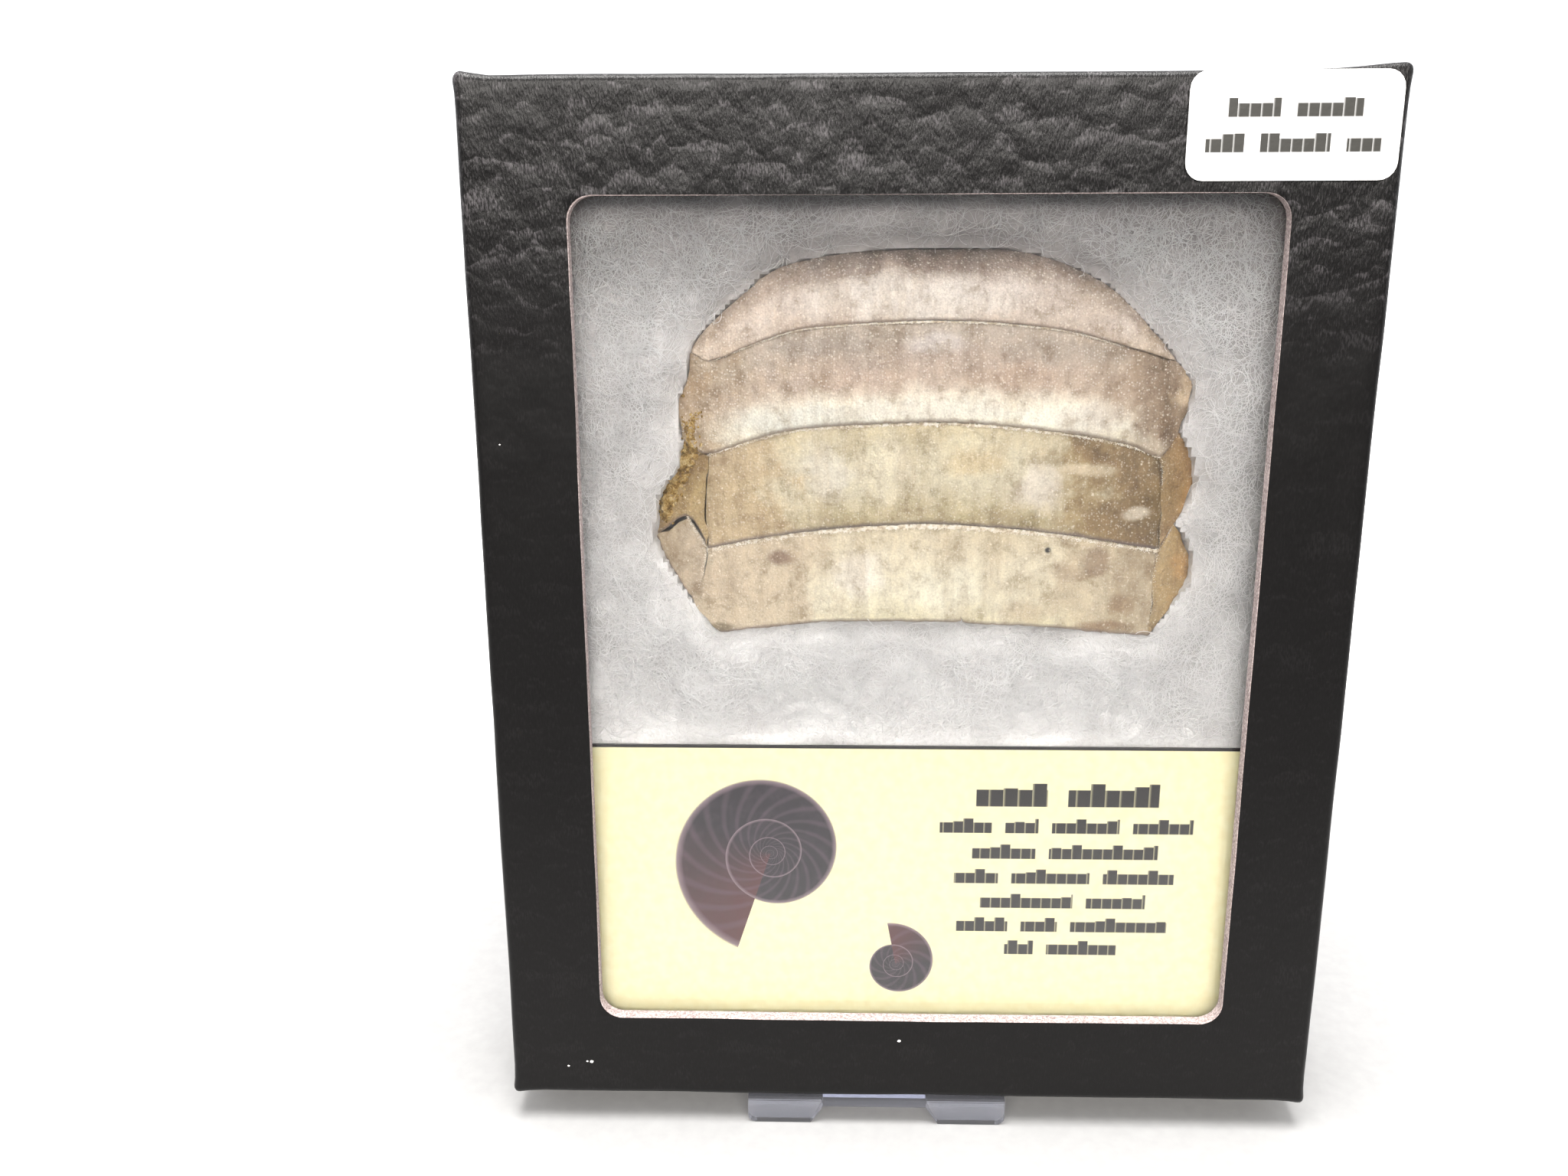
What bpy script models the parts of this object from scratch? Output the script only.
"""Fossil eagle ray tooth plate in its small glass-fronted display box, on a clear easel.

The box is drawn upright in its own frame: X to the right, Z up from its lower front edge, Y back from
its front face. One empty then tips the whole box back and stands it on the easel.
"""

import math

import bmesh
import bpy
from mathutils import Vector

MM = 0.001

# Box, millimetres
BOX_WIDTH = 108.0
BOX_HEIGHT = 132.5
BOX_DEPTH = 20.0
BOARD = 1.75
LID_DEPTH = 19.5
EDGE_ROUND = 0.9
WINDOW_LEFT = -41.5
WINDOW_RIGHT = 41.9
WINDOW_BOTTOM = 11.9
WINDOW_TOP = 119.2
WINDOW_CORNER = 3.0
GAP = 0.3
GLASS = 2.0
TRAY_WALL = 1.5
CUTTER_MARGIN = 5.0
WELD = 0.01

# Printed card and sticker, millimetres
CARD_WIDTH = 96.0
CARD_BOTTOM = 4.5
CARD_TOP = 50.0
CARD_THICKNESS = 0.4
STICKER_LEFT = 29.3
STICKER_RIGHT = 53.1
STICKER_BOTTOM = 120.5
STICKER_TOP = 132.4
STICKER_CORNER = 2.0
STICKER_THICKNESS = 0.2
STICKER_GAP = 0.2

# Tooth plate, millimetres
PLATE_MIDDLE = 2.0
PLATE_HALF_LENGTH = 28.0
PLATE_THICKNESS = 8.5
ACROSS_SAG = 0.8
FLANK_SAG = 2.2
FLANK_WIDTH = 6.0
CURL_START = 104.0
CURL_HEIGHT = 9.6
CURL_DEPTH = 4.8
TOOTH_TIP = 0.35
RELIEF_STEP = 1.8
SUTURE_STEP = 2.4
POCKET_CLEARANCE = 0.8
POCKET_BEHIND = 0.9

# Easel, millimetres and degrees
LEAN = 7.0
CORNER_HEIGHT = 4.5
PLASTIC = 1.5
EASEL_LEFT = -21.7
EASEL_RIGHT = 13.6
TOE_AHEAD = 0.1
REST_HEIGHT = 72.0
LEG_REACH = 58.0
TIGHT_BEND = 1.6
TOP_BEND = 3.0
NOTCH_HEIGHT = 2.8
NOTCH_MIDDLE = -4.3
NOTCH_TOP_WIDTH = 14.2
NOTCH_FOOT_WIDTH = 17.6
TOE_CORNER = 1.2
BEND_SEGMENTS = 5
CORNER_SEGMENTS = 4
SMOOTH_ANGLE = 35.0

# Seams between the long teeth, each a smooth curve through a few places (X, Z) in the box frame
SEAM_1 = [(-25.5, 99.5), (-14.0, 103.5), (3.0, 104.5), (17.0, 103.5), (28.5, 100.0)]
SEAM_2 = [(-26.0, 88.0), (-13.0, 91.5), (4.0, 92.0), (17.0, 91.0), (30.0, 88.0)]
SEAM_3 = [(-26.0, 76.0), (-12.0, 78.5), (4.0, 79.5), (18.0, 78.0), (30.5, 76.0)]
TOP_EDGE = [(-28.0, 101.5), (-22.0, 107.0), (-15.0, 111.5), (3.0, 113.0), (16.0, 112.0), (24.5, 107.0),
            (31.5, 101.5)]
BOTTOM_EDGE = [(30.0, 65.0), (17.0, 66.0), (5.0, 66.5), (-10.0, 66.5), (-25.0, 65.0)]

# Broken ends of the long teeth, and the outlines of the small side teeth
TOOTH_2_RIGHT = [(31.5, 101.5), (33.5, 97.5), (33.5, 94.0), (32.0, 91.0)]
TOOTH_2_LEFT = [(-29.0, 90.0), (-30.0, 93.5), (-28.5, 98.0), (-28.0, 101.5)]
TOOTH_4_LEFT = [(-28.5, 69.0), (-27.0, 72.5)]
SIDE_RIGHT_1 = [(30.0, 88.0), (32.0, 91.0), (34.0, 88.0), (35.0, 84.5), (32.5, 79.5), (30.5, 76.0)]
SIDE_RIGHT_2 = [(30.5, 76.0), (32.5, 79.5), (35.5, 74.0), (35.0, 71.5), (31.5, 66.5), (30.0, 65.0)]
SIDE_LEFT_1 = [(-26.0, 88.0), (-26.0, 76.0), (-29.0, 80.0), (-33.0, 77.0), (-32.5, 82.5), (-30.0, 86.0),
               (-29.0, 90.0)]
SIDE_LEFT_2 = [(-26.0, 76.0), (-27.0, 72.5), (-28.5, 69.0), (-33.0, 77.0), (-29.0, 80.0)]

# Colour, roughness and metallic value of each finish
LEATHERETTE = ((0.018, 0.017, 0.018, 1.0), 0.55, 0.0)
TRAY_PAPER = ((0.015, 0.015, 0.016, 1.0), 0.7, 0.0)
WINDOW = ((0.85, 0.9, 0.9, 0.3), 0.05, 0.0)
FIBRE = ((0.72, 0.72, 0.74, 1.0), 0.9, 0.0)
ENAMELOID = ((0.62, 0.52, 0.38, 1.0), 0.45, 0.0)
PRINTED_CARD = ((0.86, 0.8, 0.56, 1.0), 0.6, 0.0)
WHITE_PAPER = ((0.88, 0.88, 0.88, 1.0), 0.5, 0.0)
CLEAR_PLASTIC = ((0.8, 0.82, 0.86, 0.35), 0.1, 0.0)

# Places that follow from the sizes above
GLASS_FRONT = BOARD + GAP
GLASS_BACK = GLASS_FRONT + GLASS
INSIDE_FRONT = GLASS_BACK + GAP
INNER_WIDTH = BOX_WIDTH - 2 * (BOARD + GAP)
INNER_HEIGHT = BOX_HEIGHT - 2 * (BOARD + GAP)
INNER_MIDDLE = BOX_HEIGHT / 2
FRONT_OF_BOX = TOE_AHEAD - LEG_REACH / 2


def clear_scene():
    """Removes every object that the file starts with."""
    for thing in list(bpy.data.objects):
        bpy.data.objects.remove(thing, do_unlink=True)


def new_collection(name):
    """A collection linked under the scene."""
    group = bpy.data.collections.new(name)
    bpy.context.scene.collection.children.link(group)
    return group


def new_material(name, look):
    """A Principled BSDF material from a colour, a roughness and a metallic value."""
    colour, roughness, metallic = look
    material = bpy.data.materials.new(name)
    material.use_nodes = True
    shader = material.node_tree.nodes["Principled BSDF"]
    shader.inputs["Base Color"].default_value = colour
    shader.inputs["Roughness"].default_value = roughness
    shader.inputs["Metallic"].default_value = metallic
    shader.inputs["Alpha"].default_value = colour[3]
    return material


def object_from_bmesh(name, bm, group, material=None, smooth=False):
    """Turns a bmesh in millimetres into an object in metres."""
    bmesh.ops.scale(bm, vec=(MM, MM, MM), verts=bm.verts)
    bmesh.ops.recalc_face_normals(bm, faces=bm.faces)
    mesh = bpy.data.meshes.new(name)
    bm.to_mesh(mesh)
    bm.free()
    if smooth:
        mesh.shade_smooth()
        mesh.set_sharp_from_angle(angle=math.radians(SMOOTH_ANGLE))
    thing = bpy.data.objects.new(name, mesh)
    group.objects.link(thing)
    if material:
        mesh.materials.append(material)
    return thing


def block(low, high):
    """A bmesh box between two corners."""
    bm = bmesh.new()
    bmesh.ops.create_cube(bm, size=1.0)
    size = Vector(high) - Vector(low)
    bmesh.ops.scale(bm, vec=size, verts=bm.verts)
    bmesh.ops.translate(bm, vec=(Vector(high) + Vector(low)) / 2, verts=bm.verts)
    return bm


def round_edges_along_y(bm, radius, segments):
    """Rounds the edges of a box that run from front to back."""
    along = [e for e in bm.edges if abs((e.verts[0].co - e.verts[1].co).normalized().y) > 0.99]
    bmesh.ops.bevel(bm, geom=along, offset=radius, segments=segments, profile=0.5, affect="EDGES")


def outline_prism(name, outline, front, back, group):
    """A closed (X, Z) outline as a filled flat curve with a thickness, made a mesh so that it can cut."""
    curve = bpy.data.curves.new(name, "CURVE")
    curve.dimensions = "2D"
    curve.fill_mode = "BOTH"
    curve.extrude = (back - front) / 2 * MM
    spline = curve.splines.new("POLY")
    spline.points.add(len(outline) - 1)
    for point, (x, z) in zip(spline.points, outline):
        point.co = (x * MM, z * MM, 0.0, 1.0)
    spline.use_cyclic_u = True
    flat = bpy.data.objects.new(f"{name} curve", curve)
    group.objects.link(flat)
    flat.location.y = (front + back) / 2 * MM
    flat.rotation_euler.x = math.radians(90.0)
    bpy.context.view_layer.update()

    evaluated = flat.evaluated_get(bpy.context.evaluated_depsgraph_get())
    mesh = bpy.data.meshes.new_from_object(evaluated)
    bm = bmesh.new()
    bm.from_mesh(mesh)
    bmesh.ops.remove_doubles(bm, verts=bm.verts, dist=WELD * MM)
    bmesh.ops.recalc_face_normals(bm, faces=bm.faces)
    bm.to_mesh(mesh)
    bm.free()
    prism = bpy.data.objects.new(name, mesh)
    prism.matrix_world = flat.matrix_world.copy()
    group.objects.link(prism)
    bpy.data.objects.remove(flat, do_unlink=True)
    return prism


def smooth_through(points, step):
    """Points about one step apart on a smooth curve through the given ones."""
    ends = [points[0], *points, points[-1]]
    curve = []
    for a, b, c, d in zip(ends, ends[1:], ends[2:], ends[3:]):
        count = max(1, round(math.dist(b, c) / step))
        for i in range(count):
            t = i / count
            curve.append(tuple(
                0.5 * (2 * q + (r - p) * t + (2 * p - 5 * q + 4 * r - s) * t * t
                       + (3 * q - p - 3 * r + s) * t ** 3)
                for p, q, r, s in zip(a, b, c, d)))
    return [*curve, points[-1]]


def signed_area(outline):
    """Twice the area of an outline, positive when it runs anticlockwise."""
    return sum(a[0] * b[1] - b[0] * a[1] for a, b in zip(outline, [*outline[1:], outline[0]]))


def grown(outline, distance):
    """The outline moved outwards by a distance, or inwards by a negative one."""
    side = distance if signed_area(outline) > 0 else -distance
    moved = []
    for i, point in enumerate(outline):
        before = Vector(point) - Vector(outline[i - 1])
        after = Vector(outline[(i + 1) % len(outline)]) - Vector(point)
        normals = [Vector((v.y, -v.x)).normalized() for v in (before, after)]
        bisector = (normals[0] + normals[1]).normalized()
        reach = side / max(0.5, bisector.dot(normals[0]))
        moved.append((point[0] + bisector.x * reach, point[1] + bisector.y * reach))
    return moved


def add_boolean(thing, cutter, operation="DIFFERENCE"):
    """Cuts or crops an object with a hidden cutter."""
    cutter.hide_render = True
    cutter.display_type = "WIRE"
    modifier = thing.modifiers.new(f"{operation.lower()} {cutter.name}", "BOOLEAN")
    modifier.operation = operation
    modifier.object = cutter


def plate_front(x, z):
    """Depth of the plate's worn chewing surface behind the front face of the box."""
    across = (x - PLATE_MIDDLE) / PLATE_HALF_LENGTH
    flank = max(0.0, abs(x - PLATE_MIDDLE) - PLATE_HALF_LENGTH) / FLANK_WIDTH
    curl = min(1.0, max(0.0, z - CURL_START) / CURL_HEIGHT)
    rolled_back = CURL_DEPTH * (1.0 - math.sqrt(1.0 - curl * curl))
    return INSIDE_FRONT + TOOTH_TIP + ACROSS_SAG * across * across + FLANK_SAG * flank + rolled_back


def make_lid(group, cutters, material):
    """Wrapped board lid: a shallow tray turned to the front, with a round-cornered window."""
    bm = block((-BOX_WIDTH / 2, 0.0, 0.0), (BOX_WIDTH / 2, LID_DEPTH, BOX_HEIGHT))
    back = [f for f in bm.faces if f.normal.y > 0.5]
    bmesh.ops.delete(bm, geom=back, context="FACES_ONLY")
    folds = [e for e in bm.edges if len(e.link_faces) == 2]
    bmesh.ops.bevel(bm, geom=folds, offset=EDGE_ROUND, segments=3, profile=0.5, affect="EDGES")
    lid = object_from_bmesh("lid", bm, group, material)
    shell = lid.modifiers.new("board", "SOLIDIFY")
    shell.thickness = BOARD * MM
    shell.offset = -1.0
    shell.use_even_offset = True
    hole = block((WINDOW_LEFT, -CUTTER_MARGIN, WINDOW_BOTTOM),
                 (WINDOW_RIGHT, BOARD + CUTTER_MARGIN, WINDOW_TOP))
    round_edges_along_y(hole, WINDOW_CORNER, 6)
    add_boolean(lid, object_from_bmesh("window cutter", hole, cutters))
    return lid


def make_tray(group, material):
    """Board tray that slides into the lid, with its open side against the glass."""
    low = (-INNER_WIDTH / 2, INSIDE_FRONT, INNER_MIDDLE - INNER_HEIGHT / 2)
    high = (INNER_WIDTH / 2, BOX_DEPTH, INNER_MIDDLE + INNER_HEIGHT / 2)
    bm = block(low, high)
    front = [f for f in bm.faces if f.normal.y < -0.5]
    bmesh.ops.delete(bm, geom=front, context="FACES_ONLY")
    tray = object_from_bmesh("tray", bm, group, material)
    shell = tray.modifiers.new("board", "SOLIDIFY")
    shell.thickness = TRAY_WALL * MM
    shell.offset = -1.0
    shell.use_even_offset = True
    return tray


def make_glass(group, material):
    """Flat pane behind the front panel of the lid."""
    low = (-INNER_WIDTH / 2, GLASS_FRONT, INNER_MIDDLE - INNER_HEIGHT / 2)
    high = (INNER_WIDTH / 2, GLASS_BACK, INNER_MIDDLE + INNER_HEIGHT / 2)
    return object_from_bmesh("window_glass", block(low, high), group, material)


def make_batting(group, cutters, material):
    """Pad of fibre that fills the tray, with a bed for the plate and a step for the card."""
    half_width = INNER_WIDTH / 2 - TRAY_WALL - GAP
    half_height = INNER_HEIGHT / 2 - TRAY_WALL - GAP
    back = BOX_DEPTH - TRAY_WALL - GAP
    bm = block((-half_width, INSIDE_FRONT, INNER_MIDDLE - half_height),
               (half_width, back, INNER_MIDDLE + half_height))
    batting = object_from_bmesh("batting", bm, group, material)

    bed_outline = grown(plate_outline(), POCKET_CLEARANCE)
    bed_depth = INSIDE_FRONT + TOOTH_TIP + PLATE_THICKNESS + POCKET_BEHIND
    add_boolean(batting, outline_prism("bed cutter", bed_outline, -CUTTER_MARGIN, bed_depth, cutters))

    step = block((-BOX_WIDTH, -CUTTER_MARGIN, -CUTTER_MARGIN),
                 (BOX_WIDTH, INSIDE_FRONT + CARD_THICKNESS + GAP, CARD_TOP + GAP))
    add_boolean(batting, object_from_bmesh("card step cutter", step, cutters))
    return batting


def make_card(group, material):
    """Printed card that lies between the fibre and the glass."""
    bm = block((-CARD_WIDTH / 2, INSIDE_FRONT, CARD_BOTTOM),
               (CARD_WIDTH / 2, INSIDE_FRONT + CARD_THICKNESS, CARD_TOP))
    return object_from_bmesh("label_card", bm, group, material)


def make_sticker(group, material):
    """Round-cornered paper sticker on the front of the lid."""
    bm = block((STICKER_LEFT, -STICKER_GAP - STICKER_THICKNESS, STICKER_BOTTOM),
               (STICKER_RIGHT, -STICKER_GAP, STICKER_TOP))
    round_edges_along_y(bm, STICKER_CORNER, 5)
    return object_from_bmesh("id_sticker", bm, group, material)


def tooth_outlines():
    """Name and closed outline of every tooth, seen from the front."""
    seam_1 = smooth_through(SEAM_1, SUTURE_STEP)
    seam_2 = smooth_through(SEAM_2, SUTURE_STEP)
    seam_3 = smooth_through(SEAM_3, SUTURE_STEP)
    top = smooth_through(TOP_EDGE, SUTURE_STEP)
    bottom = smooth_through(BOTTOM_EDGE, SUTURE_STEP)
    return {
        "median_tooth_1": [*seam_1, *top[::-1]],
        "median_tooth_2": [*seam_2, *TOOTH_2_RIGHT[::-1], *seam_1[::-1], *TOOTH_2_LEFT[::-1]],
        "median_tooth_3": [*seam_3, *seam_2[::-1]],
        "median_tooth_4": [*bottom[::-1], *seam_3[::-1], *TOOTH_4_LEFT[::-1]],
        "lateral_tooth_right_1": SIDE_RIGHT_1,
        "lateral_tooth_right_2": SIDE_RIGHT_2,
        "lateral_tooth_left_1": SIDE_LEFT_1,
        "lateral_tooth_left_2": SIDE_LEFT_2,
    }


def plate_outline():
    """The outer edge of the whole plate, round all its teeth."""
    top = smooth_through(TOP_EDGE, SUTURE_STEP)
    right = [*TOOTH_2_RIGHT[1:], *SIDE_RIGHT_1[2:5], *SIDE_RIGHT_2[2:5]]
    bottom = smooth_through(BOTTOM_EDGE, SUTURE_STEP)
    left = [*SIDE_LEFT_2[2:4], *SIDE_LEFT_1[4:], *TOOTH_2_LEFT[1:3]]
    return [*top, *right, *bottom, *left]


def make_tooth(name, outline, group, cutters, material):
    """One tooth: a slab with the plate's rounded front, cropped to its outline less half a seam."""
    cropped = grown(outline, -GAP / 2)
    xs = [x for x, _ in cropped]
    zs = [z for _, z in cropped]
    width = max(xs) - min(xs) + 2 * RELIEF_STEP
    height = max(zs) - min(zs) + 2 * RELIEF_STEP
    middle = Vector(((max(xs) + min(xs)) / 2, (max(zs) + min(zs)) / 2))

    bm = bmesh.new()
    bmesh.ops.create_grid(bm, x_segments=round(width / RELIEF_STEP), y_segments=round(height / RELIEF_STEP),
                          size=0.5)
    for vertex in bm.verts:
        x = middle.x + vertex.co.x * width
        z = middle.y + vertex.co.y * height
        lift = TOOTH_TIP * (z - middle.y) / height
        vertex.co = (x, plate_front(x, z) + lift, z)
    made = bmesh.ops.extrude_face_region(bm, geom=bm.faces[:])
    behind = [v for v in made["geom"] if isinstance(v, bmesh.types.BMVert)]
    for vertex in behind:
        vertex.co.y = INSIDE_FRONT + TOOTH_TIP + PLATE_THICKNESS
    tooth = object_from_bmesh(name, bm, group, material, smooth=True)

    crop = outline_prism(f"{name} outline", cropped, -CUTTER_MARGIN, BOX_DEPTH + CUTTER_MARGIN, cutters)
    add_boolean(tooth, crop, "INTERSECT")
    return tooth


def along_lean(back, up):
    """World (Y, Z) of a place in the side view of the tipped box, from its lower front edge."""
    lean = math.radians(LEAN)
    return (FRONT_OF_BOX + back * math.cos(lean) + up * math.sin(lean),
            CORNER_HEIGHT - back * math.sin(lean) + up * math.cos(lean))


def rounded_path(points, radii):
    """A side-view path whose inner corners are arcs of the given radii."""
    path = [points[0]]
    for before, corner, after, radius in zip(points, points[1:], points[2:], radii):
        here = Vector(corner)
        to_before = (Vector(before) - here).normalized()
        to_after = (Vector(after) - here).normalized()
        half_angle = to_before.angle(to_after) / 2
        centre = here + (to_before + to_after).normalized() * radius / math.sin(half_angle)
        start = here + to_before * radius / math.tan(half_angle) - centre
        end = here + to_after * radius / math.tan(half_angle) - centre
        turn = start.angle_signed(end)
        for i in range(BEND_SEGMENTS + 1):
            step = -turn * i / BEND_SEGMENTS
            path.append(tuple(centre + Vector((
                start.x * math.cos(step) - start.y * math.sin(step),
                start.x * math.sin(step) + start.y * math.cos(step)))))
    return [*path, points[-1]]


def make_easel(group, cutters, material):
    """One bent strip: front toes, ledge, back rest and rear leg, with an arch between the toes."""
    half = PLASTIC / 2
    under = -(GAP + half)
    behind = BOX_DEPTH + GAP + half
    toe = FRONT_OF_BOX - TOE_AHEAD + half
    ledge_height = along_lean(toe - FRONT_OF_BOX, under)[1]
    top_of_rest = along_lean(behind, REST_HEIGHT)
    heel = FRONT_OF_BOX - TOE_AHEAD + LEG_REACH
    run = (heel - top_of_rest[0]) / top_of_rest[1]
    foot = heel - half * math.hypot(1.0, run)
    path = rounded_path(
        [(toe, 0.0), (toe, ledge_height), along_lean(behind, under), top_of_rest,
         (foot + run * CUTTER_MARGIN, -CUTTER_MARGIN)],
        [half + 0.1, TIGHT_BEND, TOP_BEND])

    bm = bmesh.new()
    start = [bm.verts.new((x, *path[0])) for x in (EASEL_LEFT, EASEL_RIGHT)]
    edges = [bm.edges.new(start)]
    for before, after in zip(path, path[1:]):
        made = bmesh.ops.extrude_edge_only(bm, edges=edges)
        moved = [v for v in made["geom"] if isinstance(v, bmesh.types.BMVert)]
        bmesh.ops.translate(bm, vec=(0.0, after[0] - before[0], after[1] - before[1]), verts=moved)
        edges = [e for e in made["geom"] if isinstance(e, bmesh.types.BMEdge)
                 and all(v in moved for v in e.verts)]
    bmesh.ops.bevel(bm, geom=start, offset=TOE_CORNER, segments=CORNER_SEGMENTS, profile=0.5,
                    affect="VERTICES")
    easel = object_from_bmesh("display_stand", bm, group, material, smooth=True)
    sheet = easel.modifiers.new("plastic", "SOLIDIFY")
    sheet.thickness = PLASTIC * MM
    sheet.offset = 0.0
    sheet.use_even_offset = True

    floor = block((-BOX_WIDTH, -BOX_WIDTH, -2 * CUTTER_MARGIN), (BOX_WIDTH, BOX_WIDTH, 0.0))
    add_boolean(easel, object_from_bmesh("floor cutter", floor, cutters))

    foot_half = NOTCH_FOOT_WIDTH / 2
    top_half = NOTCH_TOP_WIDTH / 2
    arch = [(NOTCH_MIDDLE - foot_half, -CUTTER_MARGIN), (NOTCH_MIDDLE + foot_half, -CUTTER_MARGIN),
            (NOTCH_MIDDLE + foot_half, 0.0), (NOTCH_MIDDLE + top_half, NOTCH_HEIGHT),
            (NOTCH_MIDDLE - top_half, NOTCH_HEIGHT), (NOTCH_MIDDLE - foot_half, 0.0)]
    add_boolean(easel, outline_prism("arch cutter", arch, toe - CUTTER_MARGIN, toe + PLASTIC, cutters))
    return easel


def main():
    clear_scene()
    pieces = new_collection("tooth_plate_display")
    cutters = new_collection("cutters")

    tooth_material = new_material("worn_enameloid", ENAMELOID)
    boxed = [
        make_lid(pieces, cutters, new_material("leatherette_paper", LEATHERETTE)),
        make_tray(pieces, new_material("black_tray_paper", TRAY_PAPER)),
        make_glass(pieces, new_material("window_glass", WINDOW)),
        make_batting(pieces, cutters, new_material("polyester_fibre", FIBRE)),
        make_card(pieces, new_material("printed_card", PRINTED_CARD)),
        make_sticker(pieces, new_material("white_sticker", WHITE_PAPER)),
    ]
    for name, outline in tooth_outlines().items():
        boxed.append(make_tooth(name, outline, pieces, cutters, tooth_material))
    make_easel(pieces, cutters, new_material("clear_plastic", CLEAR_PLASTIC))

    tipped = bpy.data.objects.new("tipped_box", None)
    bpy.context.scene.collection.objects.link(tipped)
    tipped.location = (0.0, FRONT_OF_BOX * MM, CORNER_HEIGHT * MM)
    tipped.rotation_euler.x = -math.radians(LEAN)
    in_the_box = [c for c in cutters.objects if c.name not in ("floor cutter", "arch cutter")]
    for thing in [*boxed, *in_the_box]:
        thing.parent = tipped


main()
